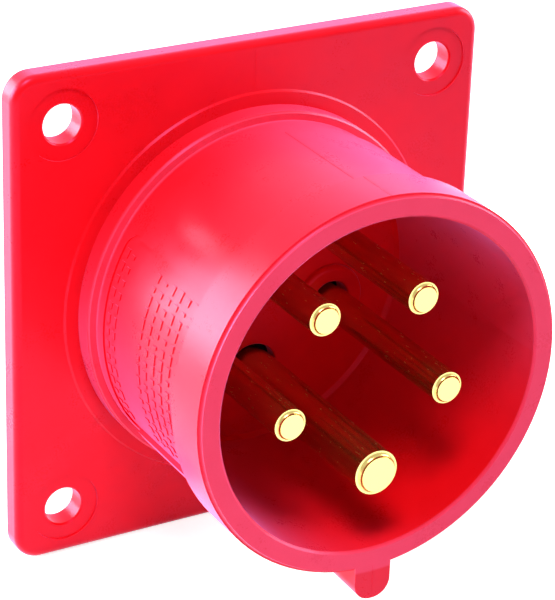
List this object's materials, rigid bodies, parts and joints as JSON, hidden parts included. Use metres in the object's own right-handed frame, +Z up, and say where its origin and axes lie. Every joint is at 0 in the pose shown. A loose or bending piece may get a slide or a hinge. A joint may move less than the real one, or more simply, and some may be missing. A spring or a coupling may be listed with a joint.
{
  "type": "five-pole panel power inlet",
  "caption": "Round red power inlet with male contact pins on a square flange, for mounting in a panel, with screw terminals behind.",
  "frame": {"origin": "centre of the flange's rear face, on the tube's axis", "axes": "+Z up with the key at -Z, -Y out of the tube's mouth, +Y through the panel towards the terminals"},
  "size_m": [0.079, 0.0615, 0.079],
  "materials": {
    "housing_red": "glossy moulded polyamide",
    "seal_rubber": "matt moulded rubber",
    "carrier_black": "satin moulded polyamide",
    "pin_brass": "turned, bright",
    "screw_zinc": "zinc plated",
    "plate_zinc": "zinc plated"
  },
  "bodies": {
    "inlet": {"housing": "housing_red", "flange_seal": "seal_rubber", "contact_carrier": "carrier_black", "pin_pe": "pin_brass", "pin_l1": "pin_brass", "pin_l2": "pin_brass", "pin_l3": "pin_brass", "pin_n": "pin_brass", "fixing_screw_left": "screw_zinc", "fixing_screw_right": "screw_zinc"},
    "clamp_pe": {"clamp_plate_pe": "plate_zinc"},
    "screw_pe": {"terminal_screw_pe": "screw_zinc"},
    "clamp_l1": {"clamp_plate_l1": "plate_zinc"},
    "screw_l1": {"terminal_screw_l1": "screw_zinc"},
    "clamp_l2": {"clamp_plate_l2": "plate_zinc"},
    "screw_l2": {"terminal_screw_l2": "screw_zinc"},
    "clamp_l3": {"clamp_plate_l3": "plate_zinc"},
    "screw_l3": {"terminal_screw_l3": "screw_zinc"},
    "clamp_n": {"clamp_plate_n": "plate_zinc"},
    "screw_n": {"terminal_screw_n": "screw_zinc"}
  },
  "joints": [
    {"name": "clamp_pe_slide", "type": "slide", "parent": "inlet", "child": "clamp_pe", "axis": [0, 0, 1], "range_m": [0, 0.0021]},
    {"name": "screw_pe_turn", "type": "hinge", "parent": "clamp_pe", "child": "screw_pe", "pos_m": [0, 0.011, -0.0139], "axis": [0, 0, 1], "range_deg": [0, 1080]},
    {"name": "clamp_l1_slide", "type": "slide", "parent": "inlet", "child": "clamp_l1", "axis": [-0.9511, 0, 0.309], "range_m": [0, 0.0021]},
    {"name": "screw_l1_turn", "type": "hinge", "parent": "clamp_l1", "child": "screw_l1", "pos_m": [0.01322, 0.011, -0.0043], "axis": [-0.9511, 0, 0.309], "range_deg": [0, 1080]},
    {"name": "clamp_l2_slide", "type": "slide", "parent": "inlet", "child": "clamp_l2", "axis": [-0.5878, 0, -0.809], "range_m": [0, 0.0021]},
    {"name": "screw_l2_turn", "type": "hinge", "parent": "clamp_l2", "child": "screw_l2", "pos_m": [0.00817, 0.011, 0.01125], "axis": [-0.5878, 0, -0.809], "range_deg": [0, 1080]},
    {"name": "clamp_l3_slide", "type": "slide", "parent": "inlet", "child": "clamp_l3", "axis": [0.5878, 0, -0.809], "range_m": [0, 0.0021]},
    {"name": "screw_l3_turn", "type": "hinge", "parent": "clamp_l3", "child": "screw_l3", "pos_m": [-0.00817, 0.011, 0.01125], "axis": [0.5878, 0, -0.809], "range_deg": [0, 1080]},
    {"name": "clamp_n_slide", "type": "slide", "parent": "inlet", "child": "clamp_n", "axis": [0.9511, 0, 0.309], "range_m": [0, 0.0021]},
    {"name": "screw_n_turn", "type": "hinge", "parent": "clamp_n", "child": "screw_n", "pos_m": [-0.01322, 0.011, -0.0043], "axis": [0.9511, 0, 0.309], "range_deg": [0, 1080]}
  ],
  "couplings": [
    {"joint": "screw_pe_turn", "follows": "clamp_pe_slide", "rad_per_m": 8975},
    {"joint": "screw_l1_turn", "follows": "clamp_l1_slide", "rad_per_m": 8975},
    {"joint": "screw_l2_turn", "follows": "clamp_l2_slide", "rad_per_m": 8975},
    {"joint": "screw_l3_turn", "follows": "clamp_l3_slide", "rad_per_m": 8975},
    {"joint": "screw_n_turn", "follows": "clamp_n_slide", "rad_per_m": 8975}
  ]
}
